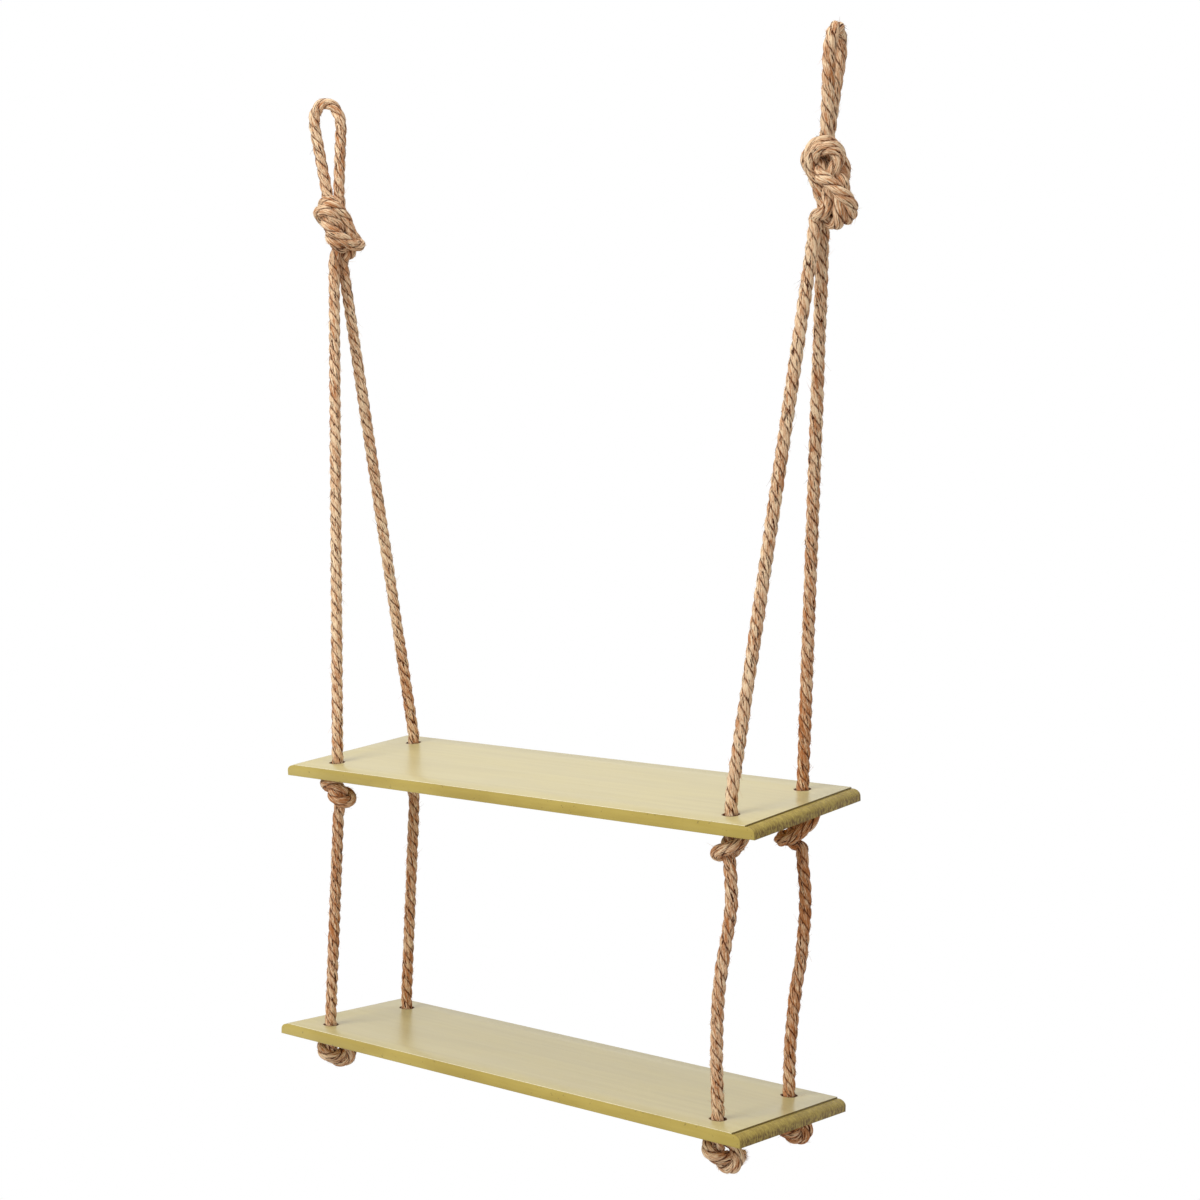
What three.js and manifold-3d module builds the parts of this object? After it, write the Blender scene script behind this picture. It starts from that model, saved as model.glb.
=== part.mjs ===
// A hanging rope shelf: two painted boards threaded on two ropes. Each rope is tied into a hanging loop at
// the top, comes down as a front and a rear leg through the ends of both boards, and is knotted under each
// board. Millimetres, +Z up, +X along the boards, -Y the front. The origin is midway between the two places
// where the loops bear on their hooks.
import * as THREE from "three";
import { mergeVertices } from "three/addons/utils/BufferGeometryUtils.js";
import Module from "manifold-3d";

const wasm = await Module();
wasm.setup();

// Driving dimensions of the boards
const flatLength = 600; // the flat top, between its moulded ends
const boardDepth = 178;
const boardThickness = 12.7;
const mouldingStep = 1.3; // the small drop at the end of the flat top
const mouldingLedge = 1.8; // the ledge between that drop and the round
const mouldingRound = 8.2; // how far the round reaches past the ledge
const mouldingFlat = 5.2; // the plain edge under the round
const holeInset = 37; // hole centre from the end of the flat top
const holeMargin = 30; // hole centre from the long edge
const holeClearance = 0.9; // between the rope and the wall of its hole, all round

// How the shelf hangs
const upperTilt = 4.5; // degrees, rear edge up
const lowerTilt = -2.5; // degrees, rear edge down
const hookDrop = 708; // from the hooks down to the middle of the upper board's top
const boardSpacing = 298; // from board top to board top
const lowerShift = -14; // the lower board sits this far to the left
const hookSpread = 334; // each hook from the middle, along the boards
const hookLine = 0.5; // the hooks, towards the rear of the middle of the upper board's top

// Driving dimensions of the ropes
const ropeDiameter = 12.7;
const ropeSqueeze = 1.4; // how deep two turns press into each other in a knot
const loopWidth = 29.6; // between the middles of a hanging loop's two sides, at the widest
const crownRise = 24; // the height of a loop's round top
const loopKnotDrop = 131; // from the hooks down to the middle of the loop knots
const loopKnotReach = 40; // from the middle of a loop knot to the flex points over and under it
const sideGap = 0.5; // between the two ropes that lie side by side at those flex points
const stemRise = 12; // from the middle of a board's top up to the flex points over it
const stopperReach = 56; // from a board's underside down to the flex point under its knot
const seatGap = 0.3; // between a knot and the board it carries
const seatPress = 1; // how deep a knot is pressed flat by the board it carries
const tailReach = 24; // from the middle of an end knot to the cut end of its tail
const straightLength = 7; // of rope that stays straight at the ends of a knot
const heldReach = 90; // where the ends of an open knot are held while it is drawn tight

// Clearances where the ropes flex
const flexGap = 0.9;
const knuckleRadius = 12; // the rounded seat on which a loop knot swings under its loop

// Mesh fineness
const ropeSides = 8;
const ropeStepShare = 0.5; // step along a bent rope, as a share of its diameter
const roundSteps = 6;
const holeSides = 24;
const ballSides = 8;
const cupSides = 12;
const knuckleSides = 40;
const crownSteps = 8;
const cutOverrun = 2; // how far a cutting body stands past what it cuts
const sliverWidth = 0.01; // triangles of a cut solid narrower than this are merged into their neighbours
const weldShare = 1e-5; // corners of a mesh nearer than this share of the rope's diameter are one corner

// Each knot is drawn tight from an open overhand of some width and rise, as shares of the usual, until its
// rope has the given length. A ball of radius core then holds its turns. Its turn is in degrees round its
// rope. At a loop knot two ropes lie side by side, in one direction over it, which is the width of its loop,
// and in another under it, front and rear. An end knot lies on its side: it is rolled about its own axis
// first, and its tail leaves at an angle from straight down. A loop may twist a little up to its crown.
const loopKnots = {
  left: { turn: 39.5, width: 39.5, crown: 39.5, foot: -90, size: 1.7, rise: 1.5, length: 430, core: 38.4 },
  right: { turn: 70, width: 115, crown: 104, foot: -90, size: 1.4, rise: 2.7, length: 475, core: 43 },
};
const stopperKnots = {
  left_front: { turn: 50, size: 1.5, rise: 0.4, length: 294, core: 25 },
  left_rear: { turn: 330, size: 1.3, rise: 1, length: 294, core: 25 },
  right_front: { turn: 215, size: 1.3, rise: 1, length: 294, core: 25 },
  right_rear: { turn: 222, size: 1.3, rise: 1.9, length: 350, core: 34 },
};
const endKnots = {
  left_front: { turn: 315, roll: 60, tail: 100 },
  left_rear: { turn: 60, roll: 90, tail: 120 },
  right_front: { turn: 285, roll: 45, tail: 60 },
  right_rear: { turn: 300, roll: 45, tail: 100 },
};
const endKnot = { size: 1.3, rise: 1, length: 294 };

// Where the two lower ropes on the right bend: share of the way down, and how far towards the right rear
const bendTurn = 39.5; // degrees from the boards' length
const ropeBends = {
  right_front: [[0.06, 1.5], [0.16, 0.4], [0.36, -4.4], [0.49, -5.9], [0.62, -5.5], [0.79, -4], [0.92, -1.6]],
  right_rear: [[0.13, 4.6], [0.25, 6], [0.45, 4.8], [0.57, 1.4], [0.68, 0], [0.84, -1]],
};

const ropeRadius = ropeDiameter / 2;
const pitch = ropeDiameter - ropeSqueeze; // between the middles of turns that press against each other
const boardLength = flatLength + 2 * (mouldingLedge + mouldingRound);
const holeX = flatLength / 2 - holeInset;
const holeY = boardDepth / 2 - holeMargin;
const holeRadius = ropeRadius + holeClearance;
const halfPair = (ropeDiameter + sideGap) / 2;
const footHeight = hookDrop - loopKnotDrop + loopKnotReach;
const throatHeight = hookDrop - loopKnotDrop - loopKnotReach;
const crownStart = hookDrop + ropeRadius - crownRise - footHeight; // over the foot of a loop
const radians = THREE.MathUtils.degToRad;
const signs = { left: -1, right: 1, front: -1, rear: 1 };
const fullTurn = 360;
const quarterTurn = 90;
const sides = ["left", "right"];
const rows = ["front", "rear"];

const paint = new THREE.MeshStandardMaterial({ color: 0xc9b96e, roughness: 0.35, metalness: 0 });
const fibre = new THREE.MeshStandardMaterial({ color: 0xb98a5a, roughness: 0.95, metalness: 0 });

const shelf = new THREE.Group();
shelf.position.set(0, -hookLine, -hookDrop);

// Solids from closed meshes, and back
function solidOf(geometry, place) {
  const bare = geometry.index ? geometry.toNonIndexed() : geometry.clone();
  bare.deleteAttribute("normal");
  bare.deleteAttribute("uv");
  if (place) bare.applyMatrix4(place);
  const merged = mergeVertices(bare, ropeDiameter * weldShare);
  return new wasm.Manifold(
    new wasm.Mesh({
      numProp: 3,
      vertProperties: merged.attributes.position.array,
      triVerts: new Uint32Array(merged.index.array),
    }),
  );
}

function addPiece(parent, name, solid, material) {
  const mesh = solid.simplify(sliverWidth).getMesh();
  const geometry = new THREE.BufferGeometry();
  geometry.setAttribute("position", new THREE.BufferAttribute(mesh.vertProperties, 3));
  geometry.setIndex(new THREE.BufferAttribute(mesh.triVerts, 1));
  geometry.computeVertexNormals();
  const piece = new THREE.Mesh(geometry, material);
  piece.name = name;
  parent.add(piece);
}

function at(x, y, z) {
  return new THREE.Vector3(x, y, z);
}

function across(turn, distance) {
  return at(distance * Math.cos(radians(turn)), distance * Math.sin(radians(turn)), 0);
}

function sum(...points) {
  return points.reduce((total, point) => total.add(point), at(0, 0, 0));
}

function turnedAbout(points, turn) {
  return points.map((point) => point.clone().applyAxisAngle(at(0, 0, 1), radians(turn)));
}

function moved(point) {
  return new THREE.Matrix4().makeTranslation(point.x, point.y, point.z);
}

function ball(centre, radius, fineness) {
  return solidOf(new THREE.SphereGeometry(radius, fineness, fineness), moved(centre));
}

function barAlongX(centre, radius) {
  const bar = new THREE.CylinderGeometry(radius, radius, 2 * loopWidth, knuckleSides);
  return solidOf(bar, moved(centre).multiply(new THREE.Matrix4().makeRotationZ(Math.PI / 2)));
}

// Rope: a bar of even section along a smooth line through its points
function ropeAlong(points) {
  const line = new THREE.CatmullRomCurve3(points, false, "centripetal");
  const section = new THREE.Shape();
  for (let side = 0; side < ropeSides; side++) {
    const corner = across((fullTurn * side) / ropeSides, ropeRadius);
    if (side) section.lineTo(corner.x, corner.y);
    else section.moveTo(corner.x, corner.y);
  }
  const bent = points.length > 2;
  const steps = bent ? Math.ceil(line.getLength() / (ropeStepShare * ropeDiameter)) : 1;
  return solidOf(new THREE.ExtrudeGeometry(section, { steps, extrudePath: line, bevelEnabled: false }));
}

// A rope's rounded end, and the hollow end that swings on it
function withBall(solid, centre) {
  return solid.add(ball(centre, ropeRadius, ballSides));
}

function withCup(solid, centre) {
  return solid.subtract(ball(centre, ropeRadius + flexGap, cupSides));
}

// Knots. The line of a rope in a knot starts as an open overhand and is drawn tight as a rope is: it
// shortens, its bends smooth out, and turns that meet push apart to one pitch.
const linkShare = 0.34; // between neighbouring points of a line, as a share of the pitch
const chordLinks = 3;
const leastChordShare = 0.9; // the least chord over those links, as a share of their length
const nearLinks = 5; // points this near along one rope don't push each other
const heldLinks = 3; // held still at each end
const drawnShare = 0.6; // of the rounds, over which a rope is shortened
const drawRounds = 400;
const settleRounds = 200;
const linkPasses = 3;
const touchPasses = 2;
const linkEase = 0.8; // how much of a fault in a link's length one pass mends
const smoothEase = 0.25; // how far a point goes towards the middle of its neighbours
const chordEase = 1;
const mateEase = 0.35; // how firmly two ropes of a pair keep beside each other
const touchEase = 1.2;
const offStem = 0.8; // farther than this many pitches from the middle of a hole, a point belongs to a turn
const onStem = 0.4; // and nearer than this many it belongs to the rope in the hole

function evenly(points) {
  const line = new THREE.CurvePath();
  for (let i = 1; i < points.length; i++) line.add(new THREE.LineCurve3(points[i - 1], points[i]));
  return line.getSpacedPoints(Math.round(line.getLength() / (linkShare * pitch)));
}

// The turns of an open overhand about the Z axis, from the top down
function openOverhand(size, rise) {
  const reach = 2.05;
  const steps = 120;
  const points = [];
  for (let step = 0; step <= steps; step++) {
    const t = reach * ((2 * step) / steps - 1);
    const wide = 0.75 * size * (t ** 3 - 3 * t);
    const deep = 0.55 * size * (t ** 4 - 4 * t ** 2 + 2);
    const high = -0.16 * rise * (t ** 5 - 10 * t);
    points.push(at(wide, deep, high).multiplyScalar(pitch));
  }
  return points;
}

// Moves pairs of points towards the wanted distance, all of them or only those that are closer
function spread(points, held, pairs, wanted, onlyCloser, ease) {
  const shifts = points.map(() => at(0, 0, 0));
  const counts = points.map(() => 0);
  const apart = at(0, 0, 0);
  for (const [i, j] of pairs) {
    apart.subVectors(points[j], points[i]);
    const length = apart.length();
    if (onlyCloser && length >= wanted) continue;
    apart.multiplyScalar((wanted - length) / (2 * length));
    shifts[j].add(apart);
    shifts[i].sub(apart);
    counts[i] += 1;
    counts[j] += 1;
  }
  points.forEach((point, i) => {
    if (held.has(i) || !counts[i]) return;
    point.addScaledVector(shifts[i], onlyCloser ? ease / counts[i] : ease);
  });
}

// Draws the lines of a knot until the longest has the given length. Two lines keep side by side, and turns
// stay under a roof, if there is one.
function drawTight(lines, length, rounds, roof) {
  const points = lines.flat().map((point) => point.clone());
  const lineOf = lines.flatMap((line, number) => line.map(() => number));
  const held = new Set();
  const links = [];
  const chords = [];
  let first = 0;
  for (const line of lines) {
    const last = first + line.length - 1;
    for (let i = first; i <= last; i++) {
      if (i < last) links.push([i, i + 1]);
      if (i + chordLinks <= last) chords.push([i, i + chordLinks]);
      if (i < first + heldLinks || i > last - heldLinks) held.add(i);
    }
    first = last + 1;
  }
  const touching = [];
  for (let i = 0; i < points.length; i++)
    for (let j = i + 1; j < points.length; j++)
      if (lineOf[i] !== lineOf[j] || j - i > nearLinks) touching.push([i, j]);
  const mates = [];
  if (lines.length > 1) {
    const [count, mateCount] = lines.map((line) => line.length);
    const mateShare = (mateCount - 1) / (count - 1);
    for (let i = 0; i < count; i++) mates.push([i, count + Math.round(i * mateShare)]);
  }

  const mostLinks = Math.max(...lines.map((line) => line.length - 1));
  const openLink = points[0].distanceTo(points[1]);
  for (let round = 0; round < rounds; round++) {
    const drawn = Math.min(1, round / (drawnShare * rounds));
    const linkLength = openLink + (length / mostLinks - openLink) * drawn;
    for (let pass = 0; pass < linkPasses; pass++) spread(points, held, links, linkLength, false, linkEase);
    const middles = points.map((point, i) => {
      return held.has(i) ? point : sum(points[i - 1], points[i + 1]).divideScalar(2);
    });
    points.forEach((point, i) => point.lerp(middles[i], smoothEase));
    spread(points, held, chords, leastChordShare * chordLinks * linkLength, true, chordEase);
    spread(points, held, mates, pitch, false, mateEase);
    for (let pass = 0; pass < touchPasses; pass++) spread(points, held, touching, pitch, true, touchEase);
    if (roof) points.forEach((point, i) => !held.has(i) && roof(point));
  }
  first = 0;
  return lines.map((line) => {
    first += line.length;
    return points.slice(first - line.length, first);
  });
}

// Two lines side by side along a route, from one direction across its top to another across its foot
function sideBySide(route, topTurn, footTurn) {
  const ahead = route.map((point, i) => {
    const before = route[Math.max(i - 1, 0)];
    const after = route[Math.min(i + 1, route.length - 1)];
    return after.clone().sub(before).normalize();
  });
  const beside = across(topTurn, 1);
  const carried = ahead.map((direction) => {
    beside.addScaledVector(direction, -beside.dot(direction)).normalize();
    return beside.clone();
  });
  const footBeside = across(footTurn, 1);
  const last = ahead[ahead.length - 1];
  const turned = Math.atan2(beside.clone().cross(footBeside).dot(last), beside.dot(footBeside));
  return [1, -1].map((sign) => {
    const line = route.map((point, i) => {
      const offset = carried[i].clone().applyAxisAngle(ahead[i], (turned * i) / (route.length - 1));
      return point.clone().addScaledVector(offset, (sign * pitch) / 2);
    });
    return evenly(line);
  });
}

// The turns of a drawn knot without the ropes that lead to them, with their middle at the origin
function turnsOf(lines, coreRadius) {
  const inner = lines.flatMap((line) => {
    return line.slice(Math.floor(line.length / 3), Math.ceil((2 * line.length) / 3));
  });
  const middle = sum(...inner).divideScalar(inner.length);
  return lines.map((line) => {
    return line.map((point) => point.clone().sub(middle)).filter((point) => point.length() < coreRadius);
  });
}

// Turns a knot until its ropes come in and go out on one upright line, and centres that line
function setUpright(lines) {
  const start = sum(...lines.map((line) => line[0])).divideScalar(lines.length);
  const end = sum(...lines.map((line) => line[line.length - 1])).divideScalar(lines.length);
  const upright = new THREE.Quaternion().setFromUnitVectors(start.clone().sub(end).normalize(), at(0, 0, 1));
  const offset = sum(start, end).divideScalar(2).applyQuaternion(upright).setZ(0);
  return lines.map((line) => line.map((point) => point.clone().applyQuaternion(upright).sub(offset)));
}

// Joins the turns of a knot to the straight ropes over and under them, and lets them settle
function settle(lines, overs, unders, roof) {
  const joined = lines.map((line, i) => evenly([...overs[i], ...line, ...unders[i]]));
  const longest = Math.max(...joined.map((line) => line.length - 1));
  return drawTight(joined, longest * linkShare * pitch, settleRounds, roof);
}

// The bridle of one side: the straight line from its hook down to the middle between its two holes
function onBridle(side, height) {
  const fromMiddle = holeX + ((hookSpread - holeX) * height) / hookDrop;
  return at(signs[side] * fromMiddle, hookLine, height);
}

// One side of a hanging loop, its height measured from its foot
function loopSide(side, sign, height) {
  const { width, crown } = loopKnots[side];
  const share = height / crownStart;
  const halfWidth = halfPair + (loopWidth / 2 - halfPair) * share;
  return sum(onBridle(side, footHeight + height), across(width + (crown - width) * share, sign * halfWidth));
}

function loopLine(side) {
  const straight = [0, 0.3, 0.6, 0.9].map((share) => share * crownStart);
  const rising = straight.map((height) => loopSide(side, 1, height));
  const falling = straight.map((height) => loopSide(side, -1, height)).reverse();
  const round = [];
  for (let step = 0; step <= crownSteps; step++) {
    const angle = (Math.PI * step) / crownSteps;
    const height = footHeight + crownStart + crownRise * Math.sin(angle);
    round.push(sum(onBridle(side, height), across(loopKnots[side].crown, (loopWidth / 2) * Math.cos(angle))));
  }
  return [...rising, ...round, ...falling];
}

function addLoop(side) {
  const knuckle = barAlongX(onBridle(side, footHeight), knuckleRadius + flexGap);
  addPiece(shelf, `${side}_hanging_loop`, ropeAlong(loopLine(side)).subtract(knuckle), fibre);
}

// The front and rear ropes through a loop knot, from under the loop down to the throat
function loopKnotLines(side) {
  const { turn, width, foot, size, rise, length, core } = loopKnots[side];
  const turns = turnedAbout(openOverhand(size, rise), turn);
  const route = evenly([at(0, 0, heldReach), ...turns, at(0, 0, -heldReach)]);
  const drawn = drawTight(sideBySide(route, width, foot), length, drawRounds);
  const middle = onBridle(side, (footHeight + throatHeight) / 2);
  const placed = setUpright(turnsOf(drawn, core)).map((line) => line.map((point) => sum(point, middle)));
  const overs = [1, -1].map((sign) => {
    const top = loopSide(side, sign, 0);
    return [top, sum(top, at(0, 0, -straightLength))];
  });
  const unders = [1, -1].map((sign) => {
    const throat = sum(onBridle(side, throatHeight), across(foot, sign * halfPair));
    return [sum(throat, at(0, 0, straightLength)), throat];
  });
  return settle(placed, overs, unders);
}

function addLoopKnot(side) {
  const hinge = onBridle(side, footHeight);
  const below = 2 * loopKnotReach + 2 * loopWidth;
  const box = new THREE.BoxGeometry(below, below, below);
  const underHinge = solidOf(box, moved(sum(hinge, at(0, 0, -below / 2))));
  const room = barAlongX(hinge, knuckleRadius).add(underHinge);
  const ropes = loopKnotLines(side).map((line, i) => {
    const overTop = loopSide(side, i ? -1 : 1, knuckleRadius + cutOverrun);
    return withBall(ropeAlong([overTop, ...line]).intersect(room), line[line.length - 1]);
  });
  addPiece(shelf, `${side}_loop_knot`, ropes[0].add(ropes[1]), fibre);
}

// The middle of a board's hole, half way through the board
function holeMiddle(frame, side, row) {
  frame.updateMatrix();
  return at(signs[side] * holeX, signs[row] * holeY, -boardThickness / 2).applyMatrix4(frame.matrix);
}

function stemTop(frame, side, row) {
  return holeMiddle(frame, side, row).setZ(frame.position.z + stemRise);
}

function stopperFoot(side, row) {
  const hole = holeMiddle(upperFrame, side, row);
  return sum(hole, at(0, 0, -boardThickness / 2 - stopperReach));
}

// Brings the turns of a knot up against the underside of a board, given from the middle of their hole
function seatUnder(line, frame) {
  const slope = Math.tan(frame.rotation.x);
  const roofTop = -(boardThickness / 2 + seatGap + ropeRadius - seatPress) / Math.cos(frame.rotation.x);
  const turns = line.filter((point) => Math.hypot(point.x, point.y) > offStem * pitch);
  const highest = Math.max(...turns.map((point) => point.z - slope * point.y));
  const seated = line.map((point) => sum(point, at(0, 0, roofTop - highest)));
  const roof = (point) => {
    const roofHere = slope * point.y + roofTop;
    if (point.z <= roofHere) return;
    if (Math.hypot(point.x, point.y) > onStem * pitch) point.z = roofHere;
    else point.set(0, 0, point.z);
  };
  return { seated, roof };
}

// Takes away what is nearer to a board than the gap, round its hole and under it
function clearOfBoard(solid, frame, side, row) {
  const around = 2 * stopperReach;
  const drillLength = boardThickness + 2 * (seatGap + cutOverrun);
  const slab = solidOf(new THREE.BoxGeometry(around, around, boardThickness + 2 * seatGap));
  const hole = solidOf(
    new THREE.CylinderGeometry(holeRadius - seatGap, holeRadius - seatGap, drillLength, holeSides),
    new THREE.Matrix4().makeRotationX(Math.PI / 2),
  );
  const place = frame.matrix.clone().setPosition(holeMiddle(frame, side, row));
  return solid.subtract(slab.subtract(hole).transform(place.elements));
}

// A stopper knot, from the flex point over the upper board to the flex point under the knot
function stopperLine(side, row) {
  const hole = holeMiddle(upperFrame, side, row);
  const top = stemTop(upperFrame, side, row).sub(hole);
  const foot = stopperFoot(side, row).sub(hole);
  const { turn, size, rise, length, core } = stopperKnots[`${side}_${row}`];
  const open = evenly([at(0, 0, heldReach), ...openOverhand(size, rise), at(0, 0, -heldReach)]);
  const [turns] = setUpright(turnsOf(drawTight([open], length, drawRounds), core));
  const { seated, roof } = seatUnder(turnedAbout(turns, turn), upperFrame);
  const over = [top, at(0, 0, -boardThickness / 2)];
  const under = [sum(foot, at(0, 0, straightLength)), foot];
  const [line] = settle([seated], [over], [under], roof);
  return line.map((point) => sum(point, hole));
}

function addStopper(side, row) {
  const line = stopperLine(side, row);
  const rope = clearOfBoard(ropeAlong(line), upperFrame, side, row);
  const knot = withBall(withBall(rope, line[0]), line[line.length - 1]);
  addPiece(shelf, `${side}_${row}_stopper_knot`, knot, fibre);
}

// An end knot, from the flex point over the lower board to the cut end of its tail
function endKnotLine(side, row) {
  const { turn, roll, tail } = endKnots[`${side}_${row}`];
  const hole = holeMiddle(lowerFrame, side, row);
  const top = stemTop(lowerFrame, side, row).sub(hole);
  const tailEnd = at(-Math.sin(radians(tail)), 0, -Math.cos(radians(tail))).multiplyScalar(heldReach);
  const rolled = turnedAbout(openOverhand(endKnot.size, endKnot.rise), roll);
  const turns = rolled.map((point) => point.applyAxisAngle(at(0, 1, 0), radians(quarterTurn)));
  const drawn = drawTight([evenly([at(0, 0, heldReach), ...turns, tailEnd])], endKnot.length, drawRounds);
  const [line] = turnsOf(drawn, tailReach);
  const centred = line.map((point) => sum(point, at(-line[0].x, -line[0].y, 0)));
  const { seated, roof } = seatUnder(turnedAbout(centred, turn), lowerFrame);
  const start = seated.findIndex((point) => point.z < -boardThickness / 2 - ropeRadius);
  const over = [top, at(0, 0, -boardThickness / 2)];
  const [settled] = settle([seated.slice(start)], [over], [[]], roof);
  return settled.map((point) => sum(point, hole));
}

function addEndKnot(side, row) {
  const line = endKnotLine(side, row);
  const rope = clearOfBoard(ropeAlong(line), lowerFrame, side, row);
  addPiece(shelf, `${side}_${row}_end_knot`, withBall(rope, line[0]), fibre);
}

// The free lengths of rope
function addUpperRope(side, row) {
  const throat = sum(onBridle(side, throatHeight), at(0, signs[row] * halfPair, 0));
  const foot = stemTop(upperFrame, side, row);
  const rope = ropeAlong([throat, foot]);
  addPiece(shelf, `${side}_${row}_upper_rope`, withCup(withCup(rope, throat), foot), fibre);
}

function addLowerRope(side, row) {
  const top = stopperFoot(side, row);
  const foot = stemTop(lowerFrame, side, row);
  const bends = ropeBends[`${side}_${row}`] ?? [];
  const points = bends.map(([share, offset]) => sum(top.clone().lerp(foot, share), across(bendTurn, offset)));
  const rope = ropeAlong([top, ...points, foot]);
  addPiece(shelf, `${side}_${row}_lower_rope`, withCup(withCup(rope, top), foot), fibre);
}

// A board: its moulded outline runs along X, and its holes are bored square to its top
function boardSolid() {
  const outline = new THREE.Shape();
  outline.moveTo(-boardLength / 2, -boardThickness);
  outline.lineTo(boardLength / 2, -boardThickness);
  for (const sign of [1, -1]) {
    const ledge = sign * (flatLength / 2 + mouldingLedge);
    const run = [];
    for (let step = 0; step <= roundSteps; step++) {
      const angle = (Math.PI / 2) * (step / roundSteps);
      const fall = boardThickness - mouldingFlat - mouldingStep;
      const reach = ledge + sign * mouldingRound * Math.cos(angle);
      run.push([reach, -mouldingStep - fall * (1 - Math.sin(angle))]);
    }
    run.push([(sign * flatLength) / 2, -mouldingStep], [(sign * flatLength) / 2, 0]);
    if (sign < 0) run.reverse();
    run.forEach((corner) => outline.lineTo(...corner));
  }
  const upright = new THREE.Matrix4().makeRotationX(Math.PI / 2);
  const slab = new THREE.ExtrudeGeometry(outline, { depth: boardDepth, bevelEnabled: false });
  let board = solidOf(slab, moved(at(0, boardDepth / 2, 0)).multiply(upright));
  for (const side of sides)
    for (const row of rows) {
      const length = boardThickness + 2 * cutOverrun;
      const drill = new THREE.CylinderGeometry(holeRadius, holeRadius, length, holeSides);
      const centre = at(signs[side] * holeX, signs[row] * holeY, -boardThickness / 2);
      board = board.subtract(solidOf(drill, moved(centre).multiply(upright)));
    }
  return board;
}

// The lower board sits where its ropes hang plumb, seen from the end
const upperFrame = new THREE.Group();
const lowerFrame = new THREE.Group();
upperFrame.rotation.x = radians(upperTilt);
lowerFrame.rotation.x = radians(lowerTilt);
const plumbShift = (boardThickness / 2) * (Math.sin(radians(upperTilt)) - Math.sin(radians(lowerTilt)));
lowerFrame.position.set(lowerShift, plumbShift, -boardSpacing);
shelf.add(upperFrame, lowerFrame);
addPiece(upperFrame, "upper_board", boardSolid(), paint);
addPiece(lowerFrame, "lower_board", boardSolid(), paint);

for (const side of sides) {
  addLoop(side);
  addLoopKnot(side);
  for (const row of rows) {
    addUpperRope(side, row);
    addStopper(side, row);
    addLowerRope(side, row);
    addEndKnot(side, row);
  }
}

export default shelf;
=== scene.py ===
"""A hanging rope shelf: two moulded, painted boards on two knotted ropes of laid fibre.

Metres, +Z up, the front faces -Y.
"""
import math

import bmesh
import bpy
import numpy as np
from mathutils import Euler, Matrix, Vector


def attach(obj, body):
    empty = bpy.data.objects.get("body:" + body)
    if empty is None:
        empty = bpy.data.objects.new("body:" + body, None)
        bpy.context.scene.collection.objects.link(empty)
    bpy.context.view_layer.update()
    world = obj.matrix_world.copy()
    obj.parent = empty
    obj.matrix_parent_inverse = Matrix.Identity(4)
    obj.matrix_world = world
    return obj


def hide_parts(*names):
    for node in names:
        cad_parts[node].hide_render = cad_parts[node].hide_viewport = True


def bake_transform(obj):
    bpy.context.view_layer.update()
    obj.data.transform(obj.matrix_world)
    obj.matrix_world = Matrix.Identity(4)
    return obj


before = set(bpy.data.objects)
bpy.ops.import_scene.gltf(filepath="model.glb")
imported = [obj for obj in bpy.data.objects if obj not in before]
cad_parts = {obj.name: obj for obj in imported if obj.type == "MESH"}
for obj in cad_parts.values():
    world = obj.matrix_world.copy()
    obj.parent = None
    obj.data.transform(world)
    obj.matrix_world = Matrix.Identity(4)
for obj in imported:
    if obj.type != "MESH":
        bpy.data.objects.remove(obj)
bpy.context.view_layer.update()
chance = np.random.default_rng(7)

# The camera: its place from the middle of the upper board's top, its turn and pitch in degrees
CAMERA_PLACE = (1.425445, -1.661503, 0.331530)
CAMERA_TURN = 39.474
CAMERA_PITCH = 3.96
CAMERA_LENS = 64.512
CAMERA_SENSOR = 36
CAMERA_CLIP_START = 0.05

# The boards
FLAT_LENGTH = 0.6
BOARD_DEPTH = 0.178
BOARD_THICKNESS = 0.0127
MOULDING_STEP = 0.0013
MOULDING_LEDGE = 0.0018
MOULDING_ROUND = 0.0082
MOULDING_FLAT = 0.0052
MOULDING_POINTS = 15
HOLE_INSET = 0.037
HOLE_MARGIN = 0.030
HOLE_CLEARANCE = 0.0009
HOLE_WEAR = 0.00014
DRILL_DEPTH = 0.03
LEVEL_WITHIN = 1e-6
BOARD_SHARP_ANGLE = 40
EASED_EDGE = 0.0005

# How the shelf hangs
UPPER_TILT = 4.5
LOWER_TILT = -2.5
HOOK_DROP = 0.708
BOARD_SPACING = 0.298
LOWER_SHIFT = -0.014
HOOK_SPREAD = 0.334
HOOK_LINE = 0.0005

# The ropes
ROPE_DIAMETER = 0.0127
PITCH = 0.0113
LOOP_WIDTH = 0.0296
CROWN_RISE = 0.024
CROWN_POINTS = 12
LOOP_SIDE_POINTS = 16
LOOP_KNOT_DROP = 0.131
LOOP_KNOT_REACH = 0.040
SIDE_GAP = 0.0005
STEM_RISE = 0.012
STOPPER_REACH = 0.056
SEAT_GAP = 0.0003
SEAT_PRESS = 0.001
TAIL_REACH = 0.024
STRAIGHT_LENGTH = 0.007
HELD_REACH = 0.090
LAY_LENGTH = 0.040
STRAND_RADIUS = 0.00435

# Where a rope bends between two bodies: how far over and under its flex point
LOOP_BEND = (0.016, 0.008)
THROAT_BEND = (0.006, 0.022)
STEM_BEND = (0.010, 0.004)
STOPPER_BEND = (0.008, 0.012)

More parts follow.
